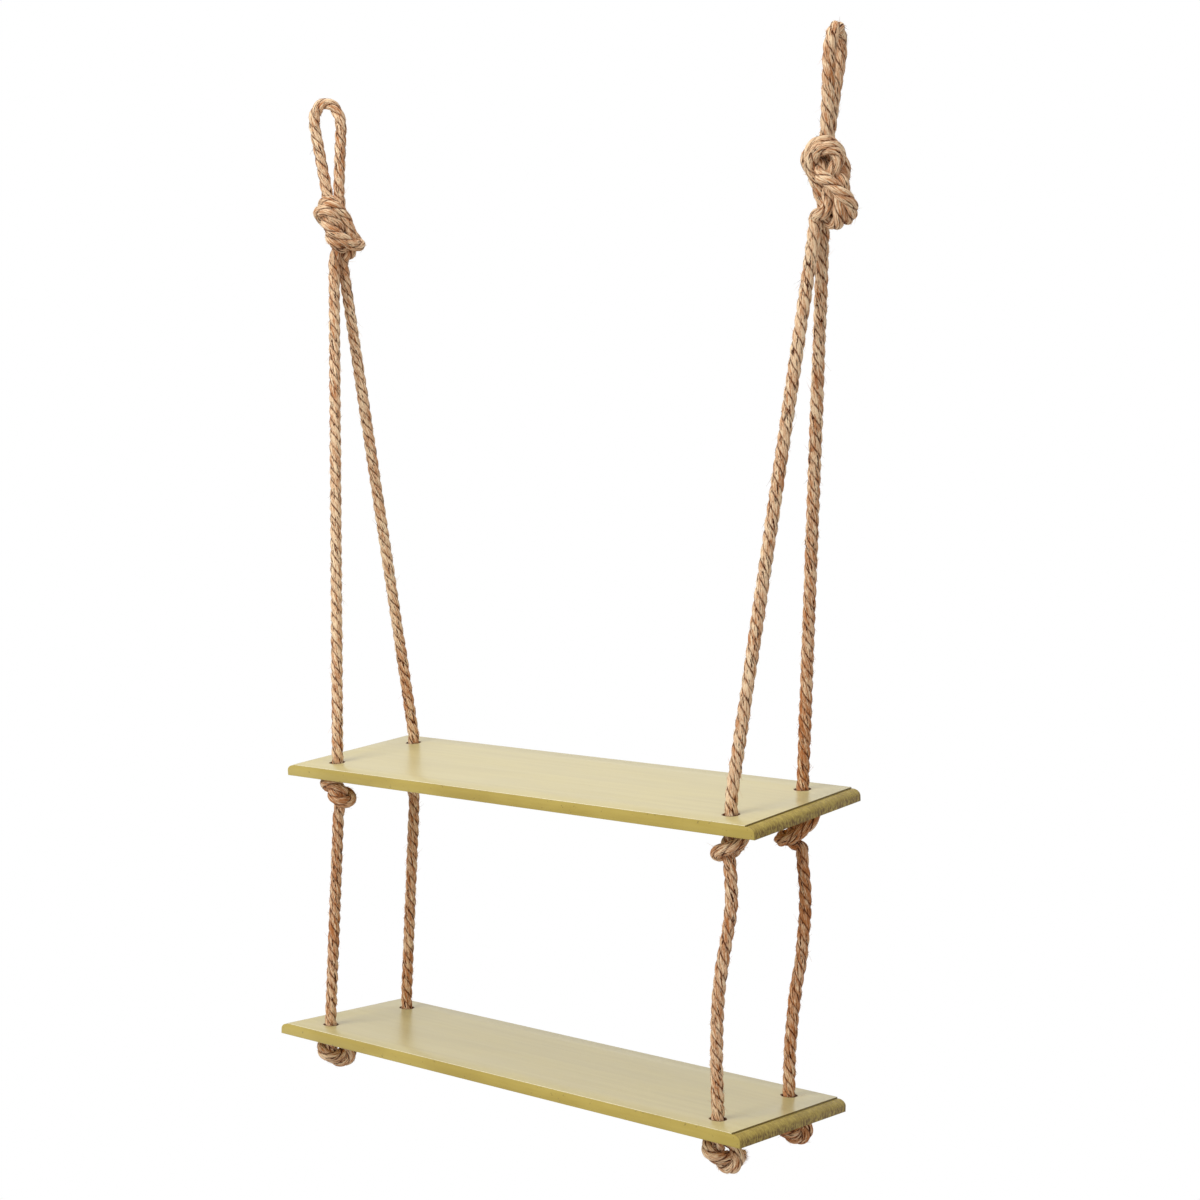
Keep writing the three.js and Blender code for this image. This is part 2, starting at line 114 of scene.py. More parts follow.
# Each knot is drawn tight from an open overhand of some width and rise, until its rope has the
# given length. A ball of radius core then holds its turns. Its turn is in degrees round its rope.
# A loop knot also has three directions in degrees, from its middle to the rope of the front leg:
# across the crown of its loop, across its width where the loop meets it, and across its foot. An
# end knot lies on its side: it is rolled about its own axis first, and its tail leaves at an angle
# from straight down.
LOOP_KNOTS = {
    "left": {
        "turn": 39.5, "width": 39.5, "crown": 39.5, "foot": -90,
        "size": 1.7, "rise": 1.5, "length": 0.430, "core": 0.0384,
    },
    "right": {
        "turn": 70, "width": 115, "crown": 104, "foot": -90,
        "size": 1.4, "rise": 2.7, "length": 0.475, "core": 0.043,
    },
}
STOPPER_KNOTS = {
    "left_front": {"turn": 50, "size": 1.5, "rise": 0.4, "length": 0.294, "core": 0.025},
    "left_rear": {"turn": 330, "size": 1.3, "rise": 1, "length": 0.294, "core": 0.025},
    "right_front": {"turn": 215, "size": 1.3, "rise": 1, "length": 0.294, "core": 0.025},
    "right_rear": {"turn": 222, "size": 1.3, "rise": 1.9, "length": 0.350, "core": 0.034},
}
END_KNOTS = {
    "left_front": {"turn": 315, "roll": 60, "tail": 100},
    "left_rear": {"turn": 60, "roll": 90, "tail": 120},
    "right_front": {"turn": 285, "roll": 45, "tail": 60},
    "right_rear": {"turn": 300, "roll": 45, "tail": 100},
}
END_KNOT = {"size": 1.3, "rise": 1, "length": 0.294}

# Where the two lower ropes on the right bend: the direction in degrees, and for each bend its share of
# the way down and how far it goes that way
BEND_TURN = 39.5
ROPE_BENDS = {
    "right_front": [
        (0.06, 0.0015), (0.16, 0.0004), (0.36, -0.0044), (0.49, -0.0059), (0.62, -0.0055),
        (0.79, -0.004), (0.92, -0.0016),
    ],
    "right_rear": [(0.13, 0.0046), (0.25, 0.006), (0.45, 0.0048), (0.57, 0.0014), (0.68, 0), (0.84, -0.001)],
}

ROPE_RADIUS = ROPE_DIAMETER / 2
HOLE_X = FLAT_LENGTH / 2 - HOLE_INSET
HOLE_Y = BOARD_DEPTH / 2 - HOLE_MARGIN
HOLE_RADIUS = ROPE_RADIUS + HOLE_CLEARANCE
HALF_PAIR = (ROPE_DIAMETER + SIDE_GAP) / 2
FOOT_HEIGHT = HOOK_DROP - LOOP_KNOT_DROP + LOOP_KNOT_REACH
THROAT_HEIGHT = HOOK_DROP - LOOP_KNOT_DROP - LOOP_KNOT_REACH
SIGNS = {"left": -1, "right": 1, "front": -1, "rear": 1}
FROM_MIDDLE = np.array([0, -HOOK_LINE, -HOOK_DROP])

TILT_SHARE = math.sin(math.radians(UPPER_TILT)) - math.sin(math.radians(LOWER_TILT))
PLUMB_SHIFT = BOARD_THICKNESS / 2 * TILT_SHARE
UPPER_FRAME = Matrix.Rotation(math.radians(UPPER_TILT), 4, "X")
LOWER_FRAME = Matrix.Translation((LOWER_SHIFT, PLUMB_SHIFT, -BOARD_SPACING)) @ Matrix.Rotation(
    math.radians(LOWER_TILT), 4, "X"
)


def set_camera():
    """The camera stands to the right of the front, level with the upper board and a little over it."""
    camera_data = bpy.data.cameras.new("camera")
    camera_data.sensor_width = CAMERA_SENSOR
    camera_data.lens = CAMERA_LENS
    camera_data.clip_start = CAMERA_CLIP_START
    camera = bpy.data.objects.new("camera", camera_data)
    camera.location = Vector(CAMERA_PLACE) + Vector(FROM_MIDDLE)
    pitch = math.radians(CAMERA_PITCH)
    camera.rotation_euler = Euler((math.pi / 2 - pitch, 0, math.radians(CAMERA_TURN)))
    bpy.context.scene.collection.objects.link(camera)
    bpy.context.scene.camera = camera


set_camera()


# Lines of rope, as rows of points in metres from the middle of the upper board's top


def across(turn, distance):
    """A level step in a direction in degrees, from +X towards +Y."""
    return np.array([math.cos(math.radians(turn)), math.sin(math.radians(turn)), 0]) * distance


def up(distance):
    return np.array([0, 0, distance])


def bend_about(point, reach):
    """Where a rope's bend starts and ends, over and under its flex point."""
    over, under = reach
    return point + up(over), point - up(under)


def turned_about(points, turn):
    spin = np.array(Matrix.Rotation(math.radians(turn), 3, "Z"))
    return points @ spin.T


def unit(rows):
    return rows / np.linalg.norm(rows, axis=-1, keepdims=True)


def travelled(points):
    steps = np.linalg.norm(np.diff(points, axis=0), axis=1)
    return np.concatenate([[0], np.cumsum(steps)])


def spaced(points, count):
    along = travelled(points)
    wanted = np.linspace(0, along[-1], count)
    return np.stack([np.interp(wanted, along, points[:, axis]) for axis in range(3)], axis=1)


# Knots. The line of a rope in a knot starts as an open overhand and is drawn tight as a rope is:
# it shortens, its bends smooth out, and turns that meet push apart to one pitch.
OVERHAND_REACH = 2.05
OVERHAND_POINTS = 121
OVERHAND_WIDTH = 0.75
OVERHAND_DEPTH = 0.55
OVERHAND_HEIGHT = 0.16
LINK_SHARE = 0.34
CHORD_LINKS = 3
LEAST_CHORD_SHARE = 0.9
NEAR_LINKS = 5
HELD_LINKS = 3
DRAWN_SHARE = 0.6
LINK_EASE = 0.8
SMOOTH_EASE = 0.25
CHORD_EASE = 1
MATE_EASE = 0.35
PUSH_EASE = 1.2
LINK_PASSES = 3
PUSH_PASSES = 2
TURN_PITCHES = 0.8  # rope further than this from the hole's middle is a turn of its knot
STEM_PITCHES = 0.4  # rope nearer than this stays in the hole
DRAW_ROUNDS = 400
SETTLE_ROUNDS = 200


def evenly(*parts):
    points = np.concatenate([np.atleast_2d(part) for part in parts if len(part)])
    return spaced(points, int(travelled(points)[-1] / (LINK_SHARE * PITCH) + 0.5) + 1)


def open_overhand(size, rise):
    """The turns of an open overhand about the Z axis, from the top down."""
    t = OVERHAND_REACH * np.linspace(-1, 1, OVERHAND_POINTS)
    wide = OVERHAND_WIDTH * size * (t**3 - 3 * t)
    deep = OVERHAND_DEPTH * size * (t**4 - 4 * t**2 + 2)
    high = -OVERHAND_HEIGHT * rise * (t**5 - 10 * t)
    return np.stack([wide, deep, high], axis=1) * PITCH


def spread(points, free, first, second, wanted, only_closer, ease):
    """Moves pairs of points towards the wanted distance, all of them or only those that are closer."""
    apart = points[second] - points[first]
    length = np.linalg.norm(apart, axis=1)
    if only_closer:
        near = length < wanted
        first, second, apart, length = first[near], second[near], apart[near], length[near]
    apart *= ((wanted - length) / (2 * length))[:, None]
    total = len(points)
    shifts = np.stack(
        [
            np.bincount(second, apart[:, axis], total) - np.bincount(first, apart[:, axis], total)
            for axis in range(3)
        ],
        axis=1,
    )
    if only_closer:
        counts = np.bincount(first, minlength=total) + np.bincount(second, minlength=total)
        shifts = shifts / np.maximum(counts, 1)[:, None]
    points[free] += ease * shifts[free]


def draw_tight(lines, length, rounds, roof=None):
    """Draws the lines of a knot until the longest has the given length.

    Two lines keep side by side, and turns stay under a roof, if there is one.
    """
    points = np.concatenate(lines)
    sizes = [len(line) for line in lines]
    starts = np.concatenate([[0], np.cumsum(sizes)])
    line_of = np.repeat(np.arange(len(lines)), sizes)
    place = np.arange(len(points))
    from_end = np.minimum(place - starts[line_of], starts[line_of + 1] - 1 - place)
    free = from_end >= HELD_LINKS
    links = place[:-1][line_of[:-1] == line_of[1:]]
    chords = place[:-CHORD_LINKS][line_of[:-CHORD_LINKS] == line_of[CHORD_LINKS:]]
    first, second = np.triu_indices(len(points), 1)
    touching = (line_of[first] != line_of[second]) | (second - first > NEAR_LINKS)
    first, second = first[touching], second[touching]
    inner = place[free]
    mates = place[: sizes[0]]
    mate_share = (sizes[-1] - 1) / (sizes[0] - 1)
    mate_of = sizes[0] + np.floor(mates * mate_share + 0.5).astype(int)

    open_link = np.linalg.norm(points[1] - points[0])
    for turn in range(rounds):
        drawn = min(1, turn / (DRAWN_SHARE * rounds))
        link_length = open_link + (length / (max(sizes) - 1) - open_link) * drawn
        for _ in range(LINK_PASSES):
            spread(points, free, links, links + 1, link_length, False, LINK_EASE)
        middles = (points[inner - 1] + points[inner + 1]) / 2
        points[inner] += SMOOTH_EASE * (middles - points[inner])
        least = LEAST_CHORD_SHARE * CHORD_LINKS * link_length
        spread(points, free, chords, chords + CHORD_LINKS, least, True, CHORD_EASE)
        if len(lines) == 2:
            spread(points, free, mates, mate_of, PITCH, False, MATE_EASE)
        for _ in range(PUSH_PASSES):
            spread(points, free, first, second, PITCH, True, PUSH_EASE)
        if roof:
            points[free] = roof(points[free])
    return np.split(points, starts[1:-1])


def side_by_side(route, top_turn, foot_turn):
    """Two lines side by side along a route, from one direction across its top to another across its foot."""
    ends = np.concatenate([route[:1], route, route[-1:]])
    ahead = unit(ends[2:] - ends[:-2])
    beside = across(top_turn, 1)
    carried = []
    for direction in ahead:
        beside = unit(beside - direction * (beside @ direction))
        carried.append(beside)
    foot_beside = across(foot_turn, 1)
    turned = math.atan2(np.cross(beside, foot_beside) @ ahead[-1], beside @ foot_beside)
    carried = np.array(carried)
    angle = (turned * np.arange(len(route)) / (len(route) - 1))[:, None]
    offset = carried * np.cos(angle) + np.cross(ahead, carried) * np.sin(angle)
    return [evenly(route + offset * sign * PITCH / 2) for sign in (1, -1)]


def turns_of(lines, core_radius):
    """The turns of a drawn knot without the ropes that lead to them, with their middle at the origin."""
    inner = np.concatenate([line[len(line) // 3 : -(-2 * len(line) // 3)] for line in lines])
    centred = [line - inner.mean(axis=0) for line in lines]
    return [line[np.linalg.norm(line, axis=1) < core_radius] for line in centred]


def set_upright(lines):
    """Turns a knot until its ropes come in and go out on one upright line, and centres that line."""
    start = np.mean([line[0] for line in lines], axis=0)
    end = np.mean([line[-1] for line in lines], axis=0)
    upright = np.array(Vector(start - end).rotation_difference(Vector((0, 0, 1))).to_matrix())
    offset = upright @ ((start + end) / 2) * (1, 1, 0)
    return [line @ upright.T - offset for line in lines]


def settle(lines, overs, unders, roof=None):
    """Joins the turns of a knot to the straight ropes over and under them, and lets them settle."""
    joined = [evenly(over, line, under) for over, line, under in zip(overs, lines, unders)]
    longest = max(len(line) for line in joined) - 1
    return draw_tight(joined, longest * LINK_SHARE * PITCH, SETTLE_ROUNDS, roof)


def on_bridle(side, height):
    """The straight line from a hook down to the middle between the two holes of its side."""
    height = np.asarray(height, float)
    x = SIGNS[side] * (HOLE_X + (HOOK_SPREAD - HOLE_X) * height / HOOK_DROP)
    return np.stack([x, np.full_like(x, HOOK_LINE), height], axis=-1)


def loop_half(side, sign):
    """Half of a hanging loop, from the middle of its crown down to its foot."""
    knot = LOOP_KNOTS[side]
    crown_start = HOOK_DROP + ROPE_RADIUS - CROWN_RISE - FOOT_HEIGHT
    angle = np.linspace(math.pi / 2, 0, CROWN_POINTS)
    crown = on_bridle(side, FOOT_HEIGHT + crown_start + CROWN_RISE * np.sin(angle))
    crown += np.outer(LOOP_WIDTH / 2 * np.cos(angle), across(knot["crown"], sign))
    height = np.linspace(crown_start, 0, LOOP_SIDE_POINTS)[1:]
    straight = on_bridle(side, FOOT_HEIGHT + height)
    for point, share in zip(straight, height / crown_start):
        half_width = HALF_PAIR + (LOOP_WIDTH / 2 - HALF_PAIR) * share
        point += across(knot["width"] + (knot["crown"] - knot["width"]) * share, sign * half_width)
    return np.concatenate([crown, straight])


def loop_knot_lines(side):
    """The front and rear ropes through a loop knot, from under the loop down to the throat."""
    knot = LOOP_KNOTS[side]
    turns = turned_about(open_overhand(knot["size"], knot["rise"]), knot["turn"])
    route = evenly(up(HELD_REACH), turns, up(-HELD_REACH))
    drawn = draw_tight(side_by_side(route, knot["width"], knot["foot"]), knot["length"], DRAW_ROUNDS)
    middle = on_bridle(side, (FOOT_HEIGHT + THROAT_HEIGHT) / 2)
    placed = [line + middle for line in set_upright(turns_of(drawn, knot["core"]))]
    overs = []
    unders = []
    for sign in (1, -1):
        top = on_bridle(side, FOOT_HEIGHT) + across(knot["width"], sign * HALF_PAIR)
        throat = on_bridle(side, THROAT_HEIGHT) + across(knot["foot"], sign * HALF_PAIR)
        overs.append([top, top - up(STRAIGHT_LENGTH)])
        unders.append([throat + up(STRAIGHT_LENGTH), throat])
    return settle(placed, overs, unders)


def hole_middle(board_frame, side, row):
    spot = Vector((SIGNS[side] * HOLE_X, SIGNS[row] * HOLE_Y, -BOARD_THICKNESS / 2))
    return np.array(board_frame @ spot)


def stem_top(board_frame, side, row):
    top = hole_middle(board_frame, side, row)
    top[2] = board_frame.translation.z + STEM_RISE
    return top


def into_hole(row, tilt):
    """The distance down a rope from its stem's top to the middle of its hole in a tilted board."""
    return STEM_RISE + BOARD_THICKNESS / 2 - SIGNS[row] * HOLE_Y * math.sin(math.radians(tilt))


def stopper_foot(side, row):
    return hole_middle(UPPER_FRAME, side, row) - up(BOARD_THICKNESS / 2 + STOPPER_REACH)


def seat_under(line, board_frame):
    """Brings the turns of a knot up against the underside of a board, given from the middle of their hole."""
    tilt = board_frame.to_euler().x
    slope = math.tan(tilt)
    roof_top = -(BOARD_THICKNESS / 2 + SEAT_GAP + ROPE_RADIUS - SEAT_PRESS) / math.cos(tilt)
    off_stem = line[np.hypot(line[:, 0], line[:, 1]) > TURN_PITCHES * PITCH]
    seated = line + up(roof_top - (off_stem[:, 2] - slope * off_stem[:, 1]).max())

    def roof(points):
        roof_here = slope * points[:, 1] + roof_top
        over = points[:, 2] > roof_here
        wide = np.hypot(points[:, 0], points[:, 1]) > STEM_PITCHES * PITCH
        points[:, 2] = np.where(over & wide, roof_here, points[:, 2])
        points[over & ~wide, :2] = 0
        return points

    return seated, roof


def stopper_line(side, row):
    """A stopper knot, from the flex point over the upper board to the flex point under the knot."""
    knot = STOPPER_KNOTS[f"{side}_{row}"]
    hole = hole_middle(UPPER_FRAME, side, row)
    top = stem_top(UPPER_FRAME, side, row) - hole
    foot = stopper_foot(side, row) - hole
    opened = evenly(up(HELD_REACH), open_overhand(knot["size"], knot["rise"]), up(-HELD_REACH))
    (turns,) = set_upright(turns_of(draw_tight([opened], knot["length"], DRAW_ROUNDS), knot["core"]))
    seated, roof = seat_under(turned_about(turns, knot["turn"]), UPPER_FRAME)
    over = [top, up(-BOARD_THICKNESS / 2)]
    under = [foot + up(STRAIGHT_LENGTH), foot]
    return settle([seated], [over], [under], roof)[0] + hole


def end_knot_line(side, row):
    """An end knot, from the flex point over the lower board to the cut end of its tail."""
    knot = END_KNOTS[f"{side}_{row}"]
    hole = hole_middle(LOWER_FRAME, side, row)
    top = stem_top(LOWER_FRAME, side, row) - hole
    tail = math.radians(knot["tail"])
    tail_end = np.array([-math.sin(tail), 0, -math.cos(tail)]) * HELD_REACH
    rolled = turned_about(open_overhand(END_KNOT["size"], END_KNOT["rise"]), knot["roll"])
    turns = rolled @ np.array(Matrix.Rotation(math.pi / 2, 3, "Y")).T
    drawn = draw_tight([evenly(up(HELD_REACH), turns, tail_end)], END_KNOT["length"], DRAW_ROUNDS)
    (line,) = turns_of(drawn, TAIL_REACH)
    centred = line - line[0] * (1, 1, 0)
    seated, roof = seat_under(turned_about(centred, knot["turn"]), LOWER_FRAME)
    start = np.argmax(seated[:, 2] < -BOARD_THICKNESS / 2 - ROPE_RADIUS)
    over = [top, up(-BOARD_THICKNESS / 2)]
    return settle([seated[start:]], [over], [[]], roof)[0] + hole


def lower_rope_line(side, row):
    top = stopper_foot(side, row)
    foot = stem_top(LOWER_FRAME, side, row)
    bends = ROPE_BENDS.get(f"{side}_{row}", [])
    middle = [top + (foot - top) * share + across(BEND_TURN, offset) for share, offset in bends]
    return np.array([top, *middle, foot])


# Laid rope: three strands wound round each other along a smooth line
RING_STEP = 0.0014
STRAND_COUNT = 3
STRAND_SIDES = 12
SMOOTH_REACH = 0.0035
FIBRE_TURN = 40.0  # radians for each metre, against the lay
PLACE_STEP = 0.02  # between the places of neighbouring strands in the fibre's pattern
START_PHASES = {"left": 0.6, "right": 2.0}
LAY_WANDER = (0.03, 0.10)  # the step along the rope and the size, in radians
WIDTH_WANDER = (0.015, 0.018)  # the step along the rope and the size, as a share
FIRST_SIDE = (1.0, 0.2, 0.1)  # strands are counted from this direction at the rope's front tail
SHARP_ANGLE = 75
LAP_INSET = 0.02  # the end rings of a length of rope are this share narrower, to lie inside its neighbours
PRESS_GAP = 0.00012
PRESS_MARGIN = 0.0002
PRESS_REACH = 0.04

# The fibres that stand off a rope, and those of its cut ends
HAIRS_PER_METRE = 1500
HAIR_RINGS = 4
HAIR_SIDES = 3
HAIR_THICKNESS = 0.00021
HAIR_TAPER = 0.8
HAIR_ROOT = 0.03  # each fibre starts this share of its length inside the rope
HAIR_LEAN = 0.35
HAIR_CURL = 0.4
HAIR_RISE = (0.1, 0.9)
SHORT_HAIR = (0.0012, 0.0036)
LONG_HAIR = (0.004, 0.009)
LONG_HAIR_SHARE = 0.06
FRAY_COUNT = 260
FRAY_SHARE = 0.86  # of the rope's radius, as far out as the fibres of a cut end stand
FRAY_SIDE = (0.3, 0.2, 1.0)  # any direction that no tail points in
FRAY_ROOT = 0.0006
FRAY_LENGTH = (0.0015, 0.0045)
FRAY_RISE = (0.1, 0.7)


def smooth_line(points):
    """A line through points, evenly spaced and with its corners rounded."""
    count = int(travelled(points)[-1] / RING_STEP)
    line = spaced(points, count)
    reach = int(3 * SMOOTH_REACH / RING_STEP)
    weights = np.exp(-0.5 * (np.arange(-reach, reach + 1) * RING_STEP / SMOOTH_REACH) ** 2)
    weights /= weights.sum()
    before = 2 * line[0] - line[reach:0:-1]
    after = 2 * line[-1] - line[-2 : -reach - 2 : -1]
    padded = np.concatenate([before, line, after])
    return np.stack([np.convolve(padded[:, axis], weights, "valid") for axis in range(3)], axis=1)


def rope_of(side):
    """The named parts of both halves of one side's rope, each from the crown of its loop down."""
    front_knot, rear_knot = loop_knot_lines(side)
    halves = []
    for row, sign, knot in (("front", 1, front_knot), ("rear", -1, rear_knot)):
        throat = knot[-1]
        upper_stem = stem_top(UPPER_FRAME, side, row)
        halves.append([
            ("loop", loop_half(side, sign)),
            ("knot_top", knot[: len(knot) // 2]),
            ("knot_foot", knot[len(knot) // 2 :]),
            ("upper_rope", np.array([throat, (throat + upper_stem) / 2])),
            ("upper_rope_foot", np.array([upper_stem])),
            ("stopper", stopper_line(side, row)),
            ("lower_rope", lower_rope_line(side, row)),
            ("end_knot", end_knot_line(side, row)),
        ])
    return halves


def joined_half(parts):
    """The points of one half of a rope, the distance along it at which each part starts, and its length."""
    points = np.concatenate([part for _, part in parts])
    along = travelled(points)
    marks = {}
    place = 0
    for name, part in parts:
        marks[name] = along[place]
        place += len(part)
    return points, marks, along[-1]


def wander(along, step, size):
    """A smooth random value along a rope."""
    knots = np.arange(0, along[-1] + 2 * step, step)
    return np.interp(along, knots, chance.normal(0, size, len(knots)))


def laid_section():
    """The distance from the rope's middle to its surface, round one turn: three flat-backed strands."""
    middle = ROPE_RADIUS - STRAND_RADIUS
    column = np.arange(STRAND_COUNT * STRAND_SIDES) % STRAND_SIDES
    turn = 2 * math.pi * (column / STRAND_SIDES - 0.5) / STRAND_COUNT
    return middle * np.cos(turn) + np.sqrt(STRAND_RADIUS**2 - (middle * np.sin(turn)) ** 2)


def laid_rope(line, start_phase):
    """Rings of a laid rope's surface along a line, and each face's place in the fibre's pattern."""
    along = travelled(line)
    ahead = unit(np.gradient(line, axis=0))
    normal = np.array(FIRST_SIDE)
    normals = []
    for direction in ahead:
        normal = unit(normal - direction * (normal @ direction))
        normals.append(normal)
    normals = np.array(normals)
    others = np.cross(ahead, normals)
    sides = STRAND_COUNT * STRAND_SIDES
    column = np.arange(sides)
    phase = start_phase - 2 * math.pi * along / LAY_LENGTH + wander(along, *LAY_WANDER)
    turn = phase[:, None] + 2 * math.pi * column / sides
    radius = laid_section() * (1 + wander(along, *WIDTH_WANDER))[:, None]
    ring = normals[:, None, :] * np.cos(turn)[..., None] + others[:, None, :] * np.sin(turn)[..., None]
    surface = line[:, None, :] + ring * radius[..., None]
    edge = column[:, None] + np.array([0, 1])
    fibre_turn = (phase + FIBRE_TURN * along)[:, None, None] + 2 * math.pi * edge / sides
    strand = np.broadcast_to((column // STRAND_SIDES)[None, :, None], fibre_turn.shape)
    place = np.stack(
        [
            ROPE_RADIUS * np.cos(fibre_turn) + PLACE_STEP * strand,
            ROPE_RADIUS * np.sin(fibre_turn),
            np.broadcast_to(along[:, None, None], fibre_turn.shape),
        ],
        axis=-1,
    )
    return surface, place


def press_against_board(grid, board_frame):
    """Rope outside a hole stays under its board."""
    to_board = np.array(board_frame.inverted())
    back = np.array(board_frame)
    flat = grid.reshape(-1, 3) @ to_board[:3, :3].T + to_board[:3, 3]
    off_hole = np.hypot(np.abs(flat[:, 0]) - HOLE_X, np.abs(flat[:, 1]) - HOLE_Y)
    least = -BOARD_THICKNESS - PRESS_GAP
    inside = (flat[:, 2] > least) & (flat[:, 2] < 0)
    within = inside & (off_hole > HOLE_RADIUS - PRESS_MARGIN) & (off_hole < PRESS_REACH)
    flat[within, 2] = least
    return (flat @ back[:3, :3].T + back[:3, 3]).reshape(grid.shape)


def tubes(name, grids, places, depths, material):
    """Closed tubes from rows of rings, with a fan at each end.

    Each quad column has a place at its left and right edge, and each side has a depth in its groove.
    """
    count, rings, sides = grids.shape[:3]
    block = rings * sides
    ring_at = np.arange(rings - 1)[:, None] * sides
    side_at = np.arange(sides)[None, :]
    next_side = (side_at + 1) % sides
    below = ring_at + sides
    quads = np.stack([ring_at + side_at, ring_at + next_side, below + next_side, below + side_at], -1)
    fan = np.stack([np.full(sides, block), next_side[0], side_at[0]], -1)
    last = (rings - 1) * sides
    end_fan = np.stack([np.full(sides, block + 1), last + side_at[0], last + next_side[0]], -1)
    points = []
    corners = []
    where = []
    for tube in range(count):
        base = tube * (block + 2)
        grid, place = grids[tube], places[tube]
        points += [grid.reshape(-1, 3), grid[0].mean(0)[None], grid[-1].mean(0)[None]]
        corners += [(quads + base).ravel(), (fan + base).ravel(), (end_fan + base).ravel()]
        left, right = place[:, :, 0], place[:, :, 1]
        where += [np.stack([left[:-1], right[:-1], right[1:], left[1:]], 2).reshape(-1, 3)]
        where += [np.stack([left[0], right[0], left[0]], 1).reshape(-1, 3)]
        where += [np.stack([left[-1], left[-1], right[-1]], 1).reshape(-1, 3)]
    points = np.concatenate(points) + FROM_MIDDLE
    corners = np.concatenate(corners)
    where = np.concatenate(where)
    sizes = np.tile(np.concatenate([np.full((rings - 1) * sides, 4), np.full(2 * sides, 3)]), count)
    mesh = bpy.data.meshes.new(name)
    mesh.vertices.add(len(points))
    mesh.vertices.foreach_set("co", points.ravel())
    mesh.loops.add(len(corners))
    mesh.loops.foreach_set("vertex_index", corners)
    mesh.polygons.add(len(sizes))
    mesh.polygons.foreach_set("loop_start", np.concatenate([[0], np.cumsum(sizes)[:-1]]))
    mesh.polygons.foreach_set("use_smooth", np.ones(len(sizes), bool))
    mesh.update(calc_edges=True)
    mesh.set_sharp_from_angle(angle=math.radians(SHARP_ANGLE))
    laid = mesh.attributes.new("laid_place", "FLOAT_VECTOR", "CORNER")
    laid.data.foreach_set("vector", where.astype(np.float32).ravel())
    groove = mesh.attributes.new("groove_depth", "FLOAT", "POINT")
    one = np.concatenate([np.tile(depths, rings), [0, 0]])
    groove.data.foreach_set("value", np.tile(one, count).astype(np.float32))
    mesh.materials.append(material)
    piece = bpy.data.objects.new(name, mesh)
    bpy.context.scene.collection.objects.link(piece)
    return piece


def hairs(name, root, ahead, outward, length, rising, material):
    """Fine fibres from their roots, each a thin bent spike."""
    count = len(root)
    beside = unit(np.cross(outward, ahead))
    share = np.linspace(0, 1, HAIR_RINGS)
    lean = chance.normal(0, HAIR_LEAN, count)[:, None] * share
    lean = lean + chance.normal(0, HAIR_CURL, count)[:, None] * share**2
    spine = root[:, None, :] + length[:, None, None] * (
        ahead[:, None, :] * share[None, :, None]
        + outward[:, None, :] * (rising[:, None] * share - HAIR_ROOT)[..., None]
        + beside[:, None, :] * lean[..., None]
    )
    thickness = HAIR_THICKNESS * (1 - HAIR_TAPER * share)
    around = 2 * math.pi * np.arange(HAIR_SIDES)[:, None] / HAIR_SIDES
    outwards, sideways = outward[:, None, None, :], beside[:, None, None, :]
    ring = outwards * np.cos(around) + sideways * np.sin(around)
    grids = spine[:, :, None, :] + ring * thickness[:, None, None]
    places = np.broadcast_to(root[:, None, None, None, :], (*grids.shape[:3], 2, 3))
    return tubes(name, grids, places, np.zeros(HAIR_SIDES), material)


def stray_fibres(name, surface, line, count, material):
    """Many short fibres that stand off a rope, and a few long ones."""
    ring = chance.integers(2, len(surface) - 3, count)
    side = chance.integers(0, surface.shape[1], count)
    root = surface[ring, side]
    outward = unit(root - line[ring])
    ahead = unit(line[ring + 1] - line[ring]) * chance.choice([-1, 1], count)[:, None]
    length = chance.uniform(*SHORT_HAIR, count)
    long_ones = chance.uniform(0, 1, count) < LONG_HAIR_SHARE
    length[long_ones] = chance.uniform(*LONG_HAIR, long_ones.sum())
    return hairs(name, root, ahead, outward, length, chance.uniform(*HAIR_RISE, count), material)


def frayed_end(name, line, count, material):
    """The brush of fibres at a rope's cut end."""
    ahead = unit(line[-1] - line[-3])
    first = unit(np.cross(ahead, FRAY_SIDE))
    second = np.cross(ahead, first)
    turn = chance.uniform(0, 2 * math.pi, count)
    reach = ROPE_RADIUS * FRAY_SHARE * np.sqrt(chance.uniform(0, 1, count))
    outward = np.outer(np.cos(turn), first) + np.outer(np.sin(turn), second)
    root = line[-1] - ahead * FRAY_ROOT + outward * reach[:, None]
    length = chance.uniform(*FRAY_LENGTH, count)
    rising = reach / ROPE_RADIUS * chance.uniform(*FRAY_RISE, count)
    return hairs(name, root, np.broadcast_to(ahead, root.shape), outward, length, rising, material)


# Materials. Sums with a Value make more nodes.


